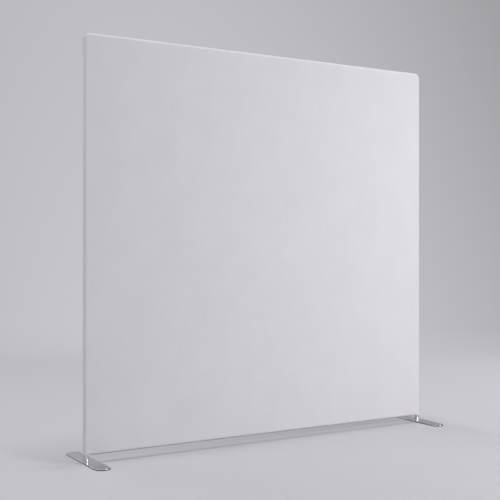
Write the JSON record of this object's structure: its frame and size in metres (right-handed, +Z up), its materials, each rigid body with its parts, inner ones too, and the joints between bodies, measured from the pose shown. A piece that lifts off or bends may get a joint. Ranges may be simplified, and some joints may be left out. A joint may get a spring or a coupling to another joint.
{
  "type": "acoustic divider screen",
  "caption": "Free-standing room divider: a tube frame in a zipped stretch-fabric sleeve with sound-absorbing boards inside, standing on flat steel feet that swivel.",
  "frame": {"origin": "floor level, below the middle of the bounding box with the feet as pictured", "axes": "+X along the screen from its left upright to its right one seen from the front, +Y through the screen from front to back, +Z up"},
  "size_m": [2.3976, 0.495, 2.295],
  "materials": {
    "tube": "bright polished, clear anodised",
    "casting": "tumbled die casting",
    "joiner": "plain extruded",
    "spring_steel": "plain spring steel",
    "rivet": "plain",
    "stretch_fabric": "fine knitted polyester, matt",
    "zip_tape": "woven tape",
    "zip_coil": "moulded coil",
    "zip_metal": "plated zinc",
    "acoustic_felt": "pressed polyester felt",
    "plate_steel": "satin with polished edges",
    "spigot_steel": "turned",
    "screw_steel": "zinc plated",
    "pad_rubber": "matt"
  },
  "bodies": {
    "screen": {"upright_left_lower": "tube", "upright_left_upper": "tube", "upright_right_lower": "tube", "upright_right_upper": "tube", "top_rail_left": "tube", "top_rail_right": "tube", "bottom_rail_left": "tube", "bottom_rail_right": "tube", "elbow_left": "casting", "elbow_right": "casting", "rail_hook_left": "casting", "rail_hook_right": "casting", "joiner_upright_left": "joiner", "joiner_upright_right": "joiner", "joiner_top_rail": "joiner", "joiner_bottom_rail": "joiner", "clip_springs": "spring_steel", "blind_rivets": "rivet", "cover_front": "stretch_fabric", "cover_back": "stretch_fabric", "zip_tape_front": "zip_tape", "zip_tape_back": "zip_tape", "zip_coil": "zip_coil", "zip_stops": "zip_metal", "acoustic_board_left": "acoustic_felt", "acoustic_board_right": "acoustic_felt"},
    "snap_button_upright_left": {"snap_button_upright_left": "spring_steel"},
    "snap_button_upright_right": {"snap_button_upright_right": "spring_steel"},
    "snap_button_elbow_left": {"snap_button_elbow_left": "spring_steel"},
    "snap_button_elbow_right": {"snap_button_elbow_right": "spring_steel"},
    "snap_button_top_rail": {"snap_button_top_rail": "spring_steel"},
    "snap_button_bottom_rail": {"snap_button_bottom_rail": "spring_steel"},
    "zip_slider": {"zip_slider": "zip_metal"},
    "zip_pull": {"zip_pull": "zip_metal"},
    "foot_left": {"foot_plate_left": "plate_steel", "foot_spigot_left": "spigot_steel", "foot_screw_left": "screw_steel", "foot_pads_left": "pad_rubber"},
    "foot_right": {"foot_plate_right": "plate_steel", "foot_spigot_right": "spigot_steel", "foot_screw_right": "screw_steel", "foot_pads_right": "pad_rubber"}
  },
  "joints": [
    {"name": "foot_left_swivel", "type": "hinge", "parent": "screen", "child": "foot_left", "pos_m": [-1.18275, -0.0425, 0.0065], "axis": [0, 0, 1], "continuous": true},
    {"name": "foot_right_swivel", "type": "hinge", "parent": "screen", "child": "foot_right", "pos_m": [1.12925, -0.0425, 0.0065], "axis": [0, 0, 1], "continuous": true},
    {"name": "upright_left_button_press", "type": "slide", "parent": "screen", "child": "snap_button_upright_left", "axis": [-1, 0, 0], "range_m": [0, 0.0037], "stiffness_N_per_m": 2500, "springref_m": -0.001},
    {"name": "upright_right_button_press", "type": "slide", "parent": "screen", "child": "snap_button_upright_right", "axis": [1, 0, 0], "range_m": [0, 0.0037], "stiffness_N_per_m": 2500, "springref_m": -0.001},
    {"name": "elbow_left_button_press", "type": "slide", "parent": "screen", "child": "snap_button_elbow_left", "axis": [-1, 0, 0], "range_m": [0, 0.0037], "stiffness_N_per_m": 2500, "springref_m": -0.001},
    {"name": "elbow_right_button_press", "type": "slide", "parent": "screen", "child": "snap_button_elbow_right", "axis": [1, 0, 0], "range_m": [0, 0.0037], "stiffness_N_per_m": 2500, "springref_m": -0.001},
    {"name": "top_rail_button_press", "type": "slide", "parent": "screen", "child": "snap_button_top_rail", "axis": [0, 0, 1], "range_m": [0, 0.0037], "stiffness_N_per_m": 2500, "springref_m": -0.001},
    {"name": "bottom_rail_button_press", "type": "slide", "parent": "screen", "child": "snap_button_bottom_rail", "axis": [0, 0, -1], "range_m": [0, 0.0037], "stiffness_N_per_m": 2500, "springref_m": -0.001},
    {"name": "zip_slide", "type": "slide", "parent": "screen", "child": "zip_slider", "axis": [-1, 0, 0], "range_m": [0, 2.2284]},
    {"name": "zip_pull_swing", "type": "hinge", "parent": "zip_slider", "child": "zip_pull", "pos_m": [1.08745, -0.0425, 0.04015], "axis": [0, 1, 0], "range_deg": [-85, 85]}
  ]
}
